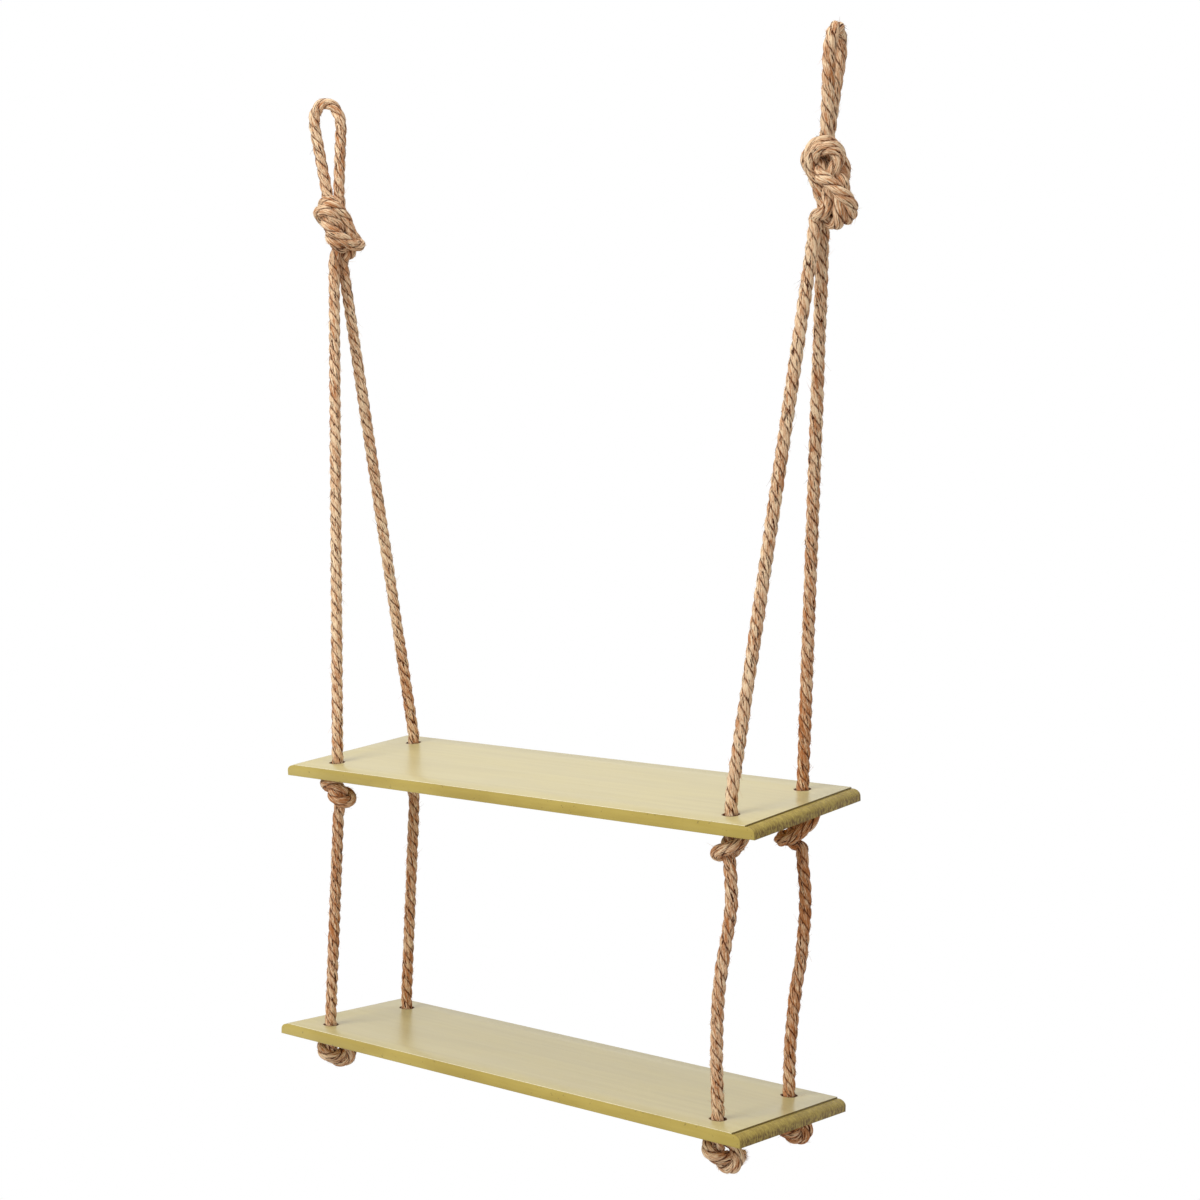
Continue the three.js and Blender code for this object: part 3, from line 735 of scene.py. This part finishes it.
class Value:
    """A socket that gives a value. One without a socket only starts the nodes of a tree."""

    def __init__(self, tree, socket=None):
        self.tree = tree
        self.socket = socket

    def node(self, kind, output=0, inputs=None, **settings):
        """Any other node, fed with the named inputs."""
        made = self.tree.nodes.new(kind)
        for setting, choice in settings.items():
            setattr(made, setting, choice)
        for place, given in (inputs or {}).items():
            put(self.tree, made.inputs[place], given)
        return Value(self.tree, made.outputs[output])

    def maths(self, operation, *others):
        return self.node("ShaderNodeMath", inputs=dict(enumerate((self, *others))), operation=operation)

    def __add__(self, other):
        return self.maths("ADD", other)

    __radd__ = __add__

    def __mul__(self, other):
        return self.maths("MULTIPLY", other)

    __rmul__ = __mul__

    def __sub__(self, other):
        return self.maths("SUBTRACT", other)

    def __rsub__(self, other):
        return (self * -1) + other

    def __pow__(self, other):
        return self.maths("POWER", other)

    def __abs__(self):
        return self.maths("ABSOLUTE")

    def between(self, low, high, start=0.0, end=1.0):
        """Rises smoothly from start at low to end at high."""
        inputs = {0: self, 1: low, 2: high, 3: start, 4: end}
        return self.node("ShaderNodeMapRange", inputs=inputs, interpolation_type="SMOOTHSTEP")

    def past(self, edge, blend):
        """Rises from 0 to 1 across an edge, from the first distance past it to the second."""
        start, end = blend
        return self.between(edge + start, edge + end)

    def scaled(self, x, y, z):
        return self.node("ShaderNodeMapping", inputs={"Vector": self, "Scale": (x, y, z)})

    def noise(self, scale, detail=3.0, roughness=0.55):
        inputs = {"Vector": self, "Scale": scale, "Detail": detail, "Roughness": roughness}
        return self.node("ShaderNodeTexNoise", inputs=inputs)

    def parts(self):
        return [self.node("ShaderNodeSeparateXYZ", output=axis, inputs={0: self}) for axis in range(3)]

    def colours(self, first, second):
        """Goes from the first colour at 0 to the second at 1."""
        inputs = {"Factor": self, 6: first, 7: second}
        return self.node("ShaderNodeMix", output=2, inputs=inputs, data_type="RGBA")


def painted(under, mask, over):
    """A colour with another over it where the mask is 1."""
    return mask.colours(under, over)


def put(tree, socket, given):
    if isinstance(given, Value):
        tree.links.new(given.socket, socket)
    elif isinstance(given, tuple) and len(given) == 3 and socket.type == "RGBA":
        socket.default_value = (*given, 1)
    else:
        socket.default_value = given


def linear(red, green, blue):
    """A colour as it is seen, given in steps out of 255."""
    shares = [step / 255 for step in (red, green, blue)]
    return tuple(share / 12.92 if share <= 0.04045 else ((share + 0.055) / 1.055) ** 2.4 for share in shares)


PALE_FIBRE = linear(255, 227, 188)
BROWN_FIBRE = linear(186, 118, 68)
# painted shade in the rope's grooves
GROOVE_SHADE = linear(92, 40, 10)
FLECK_BROWN = linear(68, 26, 4)
DEEP_KHAKI = linear(170, 147, 62)
PALE_KHAKI = linear(187, 165, 79)
# painted sheen on the boards' tops
PAINTED_SHEEN_KHAKI = linear(213, 203, 160)
SPECK_BROWN = linear(110, 88, 40)
# painted highlight along the boards' top edges
EDGE_HIGHLIGHT = linear(238, 228, 196)
# dark grain and scratches on the rounded ends, with painted shade towards their bottoms
WORN_AND_SHADED_MOULDING = linear(104, 76, 10)
# painted shade in the step of each moulding
STEP_SHADE = linear(112, 92, 38)
# bare wood at the holes' rims, with painted shade round the ropes
BARE_WOOD_AND_SHADE = linear(92, 54, 22)
WHITE = (1, 1, 1)
FLOOR_GREY = (0.66, 0.66, 0.66)


def new_material(name):
    material = bpy.data.materials.new(name)
    material.use_nodes = True
    tree = material.node_tree
    tree.nodes.clear()
    shader = tree.nodes.new("ShaderNodeBsdfPrincipled")
    output = tree.nodes.new("ShaderNodeOutputMaterial")
    tree.links.new(shader.outputs[0], output.inputs["Surface"])
    return material, tree, shader


def laid_fibre():
    """Dry natural fibre: straw to brown streaks along the rope, with painted shade, nearly black, in the
    grooves where strands meet, and painted shade lower down and on the right rear rope.
    """
    material, tree, shader = new_material("laid_fibre")
    start = Value(tree)
    laid = start.node("ShaderNodeAttribute", "Vector", attribute_name="laid_place")
    groove = start.node("ShaderNodeAttribute", "Fac", attribute_name="groove_depth")
    place = start.node("ShaderNodeTexCoord", "Object")
    yarns = laid.scaled(1, 1, 0.08).noise(880, 2.0, 0.6)
    fine = laid.scaled(1, 1, 0.12).noise(2400, 2.0, 0.7)
    patches = laid.scaled(1, 1, 0.4).noise(160, 3.0)
    flecks = laid.scaled(1, 1, 0.16).noise(620, 3.0, 0.6)
    slow = place.noise(9, 2.0)
    x, y, height = place.parts()
    # painted shade: the fibre darkens lower down, with slow random patches of darker fibre on top of that
    worn = (height * -1).between(0.45, 0.80, 0.0, 0.03) + slow.between(0.35, 0.7, 0.0, 0.05)
    # painted shade on the right rear rope
    worn = worn + x.between(0.0, 0.1) * y.between(0.0, 0.04) * 0.03
    streaks = (yarns * 0.46 + fine * 0.36 + patches * 0.28 - worn).between(0.42, 0.62)
    colour = streaks.colours(BROWN_FIBRE, PALE_FIBRE)
    broken = laid.scaled(1, 1, 0.3).noise(420, 2.0).between(0.34, 0.60, 0.3, 1.0)
    # painted shade, nearly black, in the grooves where strands meet
    colour = painted(colour, groove.between(0.5, 0.95) * broken, GROOVE_SHADE)
    colour = painted(colour, flecks.between(0.56, 0.63), FLECK_BROWN)
    put(tree, shader.inputs["Base Color"], colour)
    shader.inputs["Roughness"].default_value = 0.85
    shader.inputs["Specular IOR Level"].default_value = 0.1
    shader.inputs["Sheen Weight"].default_value = 0.05
    shader.inputs["Sheen Roughness"].default_value = 0.5
    relief = yarns * 0.5 + fine * 0.5
    bump = relief.node("ShaderNodeBump", inputs={"Height": relief, "Strength": 1.0, "Distance": 0.0013})
    put(tree, shader.inputs["Normal"], bump)
    return material


# Where the paint changes: the distances past an edge of the board between which it blends
SIDE_BLEND = (-0.0009, -0.0004)
ROUND_BLEND = (-0.0004, 0.0012)
STEP_BLEND = (-0.0005, 0.0001)
LEDGE_BLEND = (-0.0012, 0.0006)
CORNER_BLEND = (-0.0007, -0.0002)
RIM_BLEND = (0.0034, 0.0039)
RIM_RAGGED = 0.0046


def board_paint(name, board_frame):
    """Satin khaki paint: brush marks along the board, rough brushed ends and bare dark rims at the holes.
    Painted light and shade: a painted sheen on the top, a painted highlight along its edges, painted shade in
    the step and towards the bottom of each rounded end, and painted shade round each rope at its hole.
    """
    material, tree, shader = new_material(name)
    placed = Matrix.Translation(Vector(FROM_MIDDLE)) @ board_frame
    back = placed.inverted()
    place = Value(tree).node("ShaderNodeTexCoord", "Object")
    board = place.node(
        "ShaderNodeMapping",
        inputs={"Vector": place, "Location": tuple(back.translation), "Rotation": tuple(back.to_euler())},
    )
    x, y, z = board.parts()
    end = abs(x)
    ledge = FLAT_LENGTH / 2 + MOULDING_LEDGE
    inside = 1 - abs(y).past(BOARD_DEPTH / 2, SIDE_BLEND)
    on_round = end.past(ledge, ROUND_BLEND) * inside
    on_step = end.past(FLAT_LENGTH / 2, STEP_BLEND) * inside * (1 - end.past(ledge, LEDGE_BLEND))
    brushed = board.scaled(5, 420, 420).noise(1.0, 4.0)
    mottle = board.scaled(9, 26, 26).noise(1.0, 3.0)
    grain = board.scaled(60, 900, 60).noise(1.0, 5.0, 0.7)
    scratches = board.scaled(220, 420, 220).noise(1.0, 4.0, 0.65)
    streaks = board.scaled(3.5, 110, 110).noise(1.0, 4.0, 0.6)
    pits = board.noise(700, 2.0, 0.7)
    specks = board.noise(310, 2.0, 0.5).between(0.70, 0.73)
    tone = mottle * 0.6 + streaks * 0.4
    colour = tone.between(0.36, 0.64).colours(DEEP_KHAKI, PALE_KHAKI)
    colour = painted(colour, specks * 0.6, SPECK_BROWN)
    on_top = z.past(0, CORNER_BLEND)
    # painted sheen: the top face is paler, in broad streaks along the board
    painted_top_sheen = on_top * streaks.between(0.36, 0.62, 0.555, 0.61)
    colour = painted(colour, painted_top_sheen, PAINTED_SHEEN_KHAKI)
    # painted highlight: a pale line along the top edges, broken up by pits
    edge = abs(y).past(BOARD_DEPTH / 2, CORNER_BLEND) * on_top
    colour = painted(colour, edge * pits.between(0.3, 0.6, 0.2, 0.9), EDGE_HIGHLIGHT)
    # painted shade: the dark grain and scratch marks on the rounded ends grow stronger towards the bottom of
    # the round
    under = 1 - z.between(-0.0085, -0.0030, 0.0, 0.55)
    worn_and_shaded_end = (grain * 0.5 + scratches * 0.6).between(0.48, 0.60, 0.25, 1.0) * on_round * under
    colour = painted(colour, worn_and_shaded_end, WORN_AND_SHADED_MOULDING)
    # painted shade: a dark line in the recess of the step
    colour = painted(colour, on_step * pits.between(0.25, 0.5, 0.55, 0.95), STEP_SHADE)
    # bare wood at the ragged rim of each hole, with painted shade round the rope that passes through it
    from_hole = ((end - HOLE_X) ** 2 + (abs(y) - HOLE_Y) ** 2) ** 0.5
    ragged = board.noise(520, 4.0, 0.65) * RIM_RAGGED
    rim = 1 - (from_hole + ragged).past(HOLE_RADIUS, RIM_BLEND)
    colour = painted(colour, rim, BARE_WOOD_AND_SHADE)
    put(tree, shader.inputs["Base Color"], colour)
    put(tree, shader.inputs["Roughness"], mottle * 0.1 + brushed * 0.08 + on_round * 0.25 + rim * 0.6 + 0.22)
    shader.inputs["Specular IOR Level"].default_value = 0.5
    relief = brushed * 0.10 + streaks * 0.08 + on_round * (grain * 1.4 + scratches * 1.2) + pits * 0.06
    bump = relief.node("ShaderNodeBump", inputs={"Height": relief, "Strength": 0.5, "Distance": 0.0004})
    put(tree, shader.inputs["Normal"], bump)
    return material


FIBRE = laid_fibre()


def finish_rope(piece, bodies, blend_at):
    """Rides a piece of rope on its body. A piece between two bodies only has its place baked into its mesh:
    it rides on neither and does not bend.
    """
    if len(bodies) == 1:
        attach(piece, bodies[0])
        return
    upper, lower = (tuple(np.asarray(point) + FROM_MIDDLE) for point in blend_at)
    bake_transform(piece)
    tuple(upper)
    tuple(lower)


def make_side(side):
    """One side's rope in lengths that each cross one flex point, with their stray fibres."""
    halves = [joined_half(parts) for parts in rope_of(side)]
    front_points, front_marks, front_length = halves[0]
    rear_points, rear_marks, rear_length = halves[1]
    line = smooth_line(np.concatenate([front_points[::-1], rear_points[1:]]))
    along = travelled(line)
    stretch = along[-1] / (front_length + rear_length)
    surface, places = laid_rope(line, START_PHASES[side])
    for board_frame in (UPPER_FRAME, LOWER_FRAME):
        surface = press_against_board(surface, board_frame)
    section = laid_section()
    groove = (section.max() - section) / (section.max() - section.min())

    def ring_at(row, distance):
        signed = front_length - distance if row == "front" else front_length + distance
        return int(np.clip(round(signed * stretch / along[-1] * (len(line) - 1)), 0, len(line) - 1))

    def length_of_rope(name, first, last, bodies, blend_at, replaced, far_end="object"):
        first, last = max(0, min(first, last) - 1), min(len(line) - 1, max(first, last) + 1)
        span = slice(first, last + 1)
        rings = surface[span].copy()
        for end in (0, -1):
            rings[end] += LAP_INSET * (line[span][end] - rings[end])
        piece = tubes(name, rings[None], places[None, span], groove, FIBRE)
        length = travelled(line[span])[-1]
        hair_count = int(length * HAIRS_PER_METRE)
        loose = [stray_fibres(f"{name}_fibres", surface[span], line[span], hair_count, FIBRE)]
        if far_end == "knot":
            cut = line[span] if last == len(line) - 1 else line[span][::-1]
            loose.append(frayed_end(f"{name}_frayed_end", cut, FRAY_COUNT, FIBRE))
        for part in (piece, *loose):
            finish_rope(part, bodies, blend_at)
        if replaced:
            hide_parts(*replaced)

    knot = f"{side}_knot"
    throat = on_bridle(side, THROAT_HEIGHT)
    length_of_rope(
        f"{side}_loop_rope",
        ring_at("front", front_marks["knot_foot"]),
        ring_at("rear", rear_marks["knot_foot"]),
        ["hanging_loops", knot],
        bend_about(on_bridle(side, FOOT_HEIGHT), LOOP_BEND),
        [f"{side}_hanging_loop", f"{side}_loop_knot"],
    )
    for row, marks, total in (("front", front_marks, front_length), ("rear", rear_marks, rear_length)):
        name = f"{side}_{row}"
        upper_stem = stem_top(UPPER_FRAME, side, row)
        in_upper_hole = into_hole(row, UPPER_TILT)
        in_lower_hole = into_hole(row, LOWER_TILT)
        upper_middle = marks["upper_rope"] + travelled(np.array([throat, (throat + upper_stem) / 2]))[-1]
        lower_middle = (marks["lower_rope"] + marks["end_knot"]) / 2
        bends_over = side == "left"
        upper_end = marks["stopper"] + (in_upper_hole if bends_over else 0)
        length_of_rope(
            f"{name}_rope_over_throat",
            ring_at(row, marks["knot_foot"]),
            ring_at(row, upper_middle),
            [knot, f"{side}_ropes"],
            bend_about(throat, THROAT_BEND),
            [],
        )
        length_of_rope(
            f"{name}_rope_to_upper_board",
            ring_at(row, upper_middle),
            ring_at(row, upper_end),
            [f"{side}_ropes", "upper_shelf"] if bends_over else [f"{side}_ropes"],
            bend_about(upper_stem, STEM_BEND),
            [f"{name}_upper_rope"],
        )
        length_of_rope(
            f"{name}_rope_with_stopper",
            ring_at(row, upper_end),
            ring_at(row, lower_middle),
            ["upper_shelf", f"{row}_ropes"],
            bend_about(stopper_foot(side, row), STOPPER_BEND),
            [f"{name}_stopper_knot"],
        )
        bends_low = row == "front"
        lower_end = marks["end_knot"] + (in_lower_hole if bends_low else 0)
        length_of_rope(
            f"{name}_rope_to_lower_board",
            ring_at(row, lower_middle),
            ring_at(row, lower_end),
            [f"{row}_ropes", "lower_shelf"] if bends_low else [f"{row}_ropes"],
            bend_about(stem_top(LOWER_FRAME, side, row), STEM_BEND),
            [f"{name}_lower_rope"],
        )
        length_of_rope(
            f"{name}_rope_with_end_knot",
            ring_at(row, lower_end),
            ring_at(row, total),
            ["lower_shelf"],
            None,
            [f"{name}_end_knot"],
            far_end="knot",
        )


def moulded_board(name, node, board_frame, body):
    """A board with its moulded ends, eased edges and four bored holes."""
    ledge = FLAT_LENGTH / 2 + MOULDING_LEDGE
    tip = ledge + MOULDING_ROUND
    fall = BOARD_THICKNESS - MOULDING_FLAT - MOULDING_STEP
    profile = [(-tip, -BOARD_THICKNESS), (tip, -BOARD_THICKNESS)]
    for sign in (1, -1):
        run = []
        for angle in np.linspace(0, math.pi / 2, MOULDING_POINTS):
            out = ledge + MOULDING_ROUND * math.cos(angle)
            run.append((sign * out, -MOULDING_STEP - fall * (1 - math.sin(angle))))
        run += [(sign * FLAT_LENGTH / 2, -MOULDING_STEP), (sign * FLAT_LENGTH / 2, 0)]
        profile += run if sign > 0 else run[::-1]
    shape = bmesh.new()
    outline = [shape.verts.new((x, -BOARD_DEPTH / 2, z)) for x, z in profile]
    face = shape.faces.new(outline)
    grown = bmesh.ops.extrude_face_region(shape, geom=[face])
    moved = [part for part in grown["geom"] if isinstance(part, bmesh.types.BMVert)]
    bmesh.ops.translate(shape, verts=moved, vec=(0, BOARD_DEPTH, 0))
    bmesh.ops.recalc_face_normals(shape, faces=shape.faces)
    rims = [edge for edge in shape.edges if abs(edge.verts[0].co.y - edge.verts[1].co.y) < LEVEL_WITHIN]
    bmesh.ops.bevel(
        shape, geom=rims, offset=EASED_EDGE, segments=2, profile=0.5, affect="EDGES", material=-1,
        clamp_overlap=True,
    )
    mesh = bpy.data.meshes.new(name)
    shape.to_mesh(mesh)
    shape.free()
    board = bpy.data.objects.new(name, mesh)
    bpy.context.scene.collection.objects.link(board)

    drills = bmesh.new()
    for x in (-HOLE_X, HOLE_X):
        for y in (-HOLE_Y, HOLE_Y):
            made = bmesh.ops.create_cone(
                drills, cap_ends=True, segments=48, radius1=HOLE_RADIUS, radius2=HOLE_RADIUS,
                depth=DRILL_DEPTH, matrix=Matrix.Translation((x, y, -BOARD_THICKNESS / 2)),
            )
            worn = chance.normal(0, HOLE_WEAR, len(made["verts"]))
            for vert, extra in zip(made["verts"], worn):
                outward = Vector((vert.co.x - x, vert.co.y - y, 0)).normalized()
                vert.co += outward * abs(extra)
    drill_mesh = bpy.data.meshes.new(f"{name}_drills")
    drills.to_mesh(drill_mesh)
    drills.free()
    drill = bpy.data.objects.new(f"{name}_drills", drill_mesh)
    bpy.context.scene.collection.objects.link(drill)
    bore = board.modifiers.new("bore", "BOOLEAN")
    bore.operation = "DIFFERENCE"
    bore.solver = "EXACT"
    bore.object = drill
    bored = bpy.data.meshes.new_from_object(board.evaluated_get(bpy.context.evaluated_depsgraph_get()))
    board.modifiers.clear()
    board.data = bored
    bpy.data.objects.remove(drill)
    bored.transform(Matrix.Translation(Vector(FROM_MIDDLE)) @ board_frame)
    bored.polygons.foreach_set("use_smooth", np.ones(len(bored.polygons), bool))
    bored.set_sharp_from_angle(angle=math.radians(BOARD_SHARP_ANGLE))
    bored.materials.clear()
    bored.materials.append(board_paint(f"{name}_paint", board_frame))
    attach(board, body)
    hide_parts(node)


# The studio: soft light from all round, a large lamp on the left front, a fainter one overhead and a pale
# floor far below. Each lamp has its place, size and power.
SKY_STRENGTH = 0.66
LAMPS = {
    "key_light": ((-0.6, -2.6, 1.2), 1.6, 56),
    "top_light": ((0.4, -0.4, 2.2), 1.8, 16),
}
LAMPS_AIM = (0, 0, -0.5)
FLOOR_SIZE = 14
FLOOR_HEIGHT = -1.9


def white_where_seen(tree, lit, white_kind):
    """White for rays of the camera and of reflections, and the lit shader for all others."""
    rays = Value(tree).node("ShaderNodeLightPath", "Is Camera Ray")
    outputs = rays.socket.node.outputs
    seen = rays + Value(tree, outputs["Is Glossy Ray"]) + Value(tree, outputs["Is Transmission Ray"])
    white = Value(tree).node(white_kind, inputs={"Color": WHITE})
    inputs = {0: seen.maths("MINIMUM", 1.0), 1: lit, 2: white}
    return Value(tree).node("ShaderNodeMixShader", inputs=inputs)


def set_sky():
    world = bpy.data.worlds.new("studio")
    bpy.context.scene.world = world
    world.use_nodes = True
    tree = world.node_tree
    tree.nodes.clear()
    lit = Value(tree).node("ShaderNodeBackground", inputs={"Color": WHITE, "Strength": SKY_STRENGTH})
    output = tree.nodes.new("ShaderNodeOutputWorld")
    put(tree, output.inputs["Surface"], white_where_seen(tree, lit, "ShaderNodeBackground"))


def set_lamps():
    for name, (place, size, power) in LAMPS.items():
        lamp_data = bpy.data.lights.new(name, "AREA")
        lamp_data.size = size
        lamp_data.energy = power
        lamp = bpy.data.objects.new(name, lamp_data)
        lamp.location = place
        lamp.rotation_euler = (Vector(LAMPS_AIM) - lamp.location).to_track_quat("-Z", "Y").to_euler()
        bpy.context.scene.collection.objects.link(lamp)


def set_floor():
    """A pale floor far below."""
    floor_mesh = bpy.data.meshes.new("floor")
    shape = bmesh.new()
    bmesh.ops.create_grid(shape, x_segments=1, y_segments=1, size=FLOOR_SIZE)
    bmesh.ops.translate(shape, verts=shape.verts, vec=(0, 0, FLOOR_HEIGHT))
    shape.to_mesh(floor_mesh)
    shape.free()
    floor = bpy.data.objects.new("floor", floor_mesh)
    bpy.context.scene.collection.objects.link(floor)
    material, tree, shader = new_material("pale_floor")
    put(tree, shader.inputs["Base Color"], FLOOR_GREY)
    shader.inputs["Roughness"].default_value = 0.9
    output = next(node for node in tree.nodes if node.type == "OUTPUT_MATERIAL")
    lit = Value(tree, shader.outputs[0])
    put(tree, output.inputs["Surface"], white_where_seen(tree, lit, "ShaderNodeEmission"))
    floor_mesh.materials.append(material)


for side in ("left", "right"):
    make_side(side)
moulded_board("upper_shelf_board", "upper_board", UPPER_FRAME, "upper_shelf")
moulded_board("lower_shelf_board", "lower_board", LOWER_FRAME, "lower_shelf")
set_sky()
set_lamps()
set_floor()
bpy.context.scene.view_settings.view_transform = "Standard"
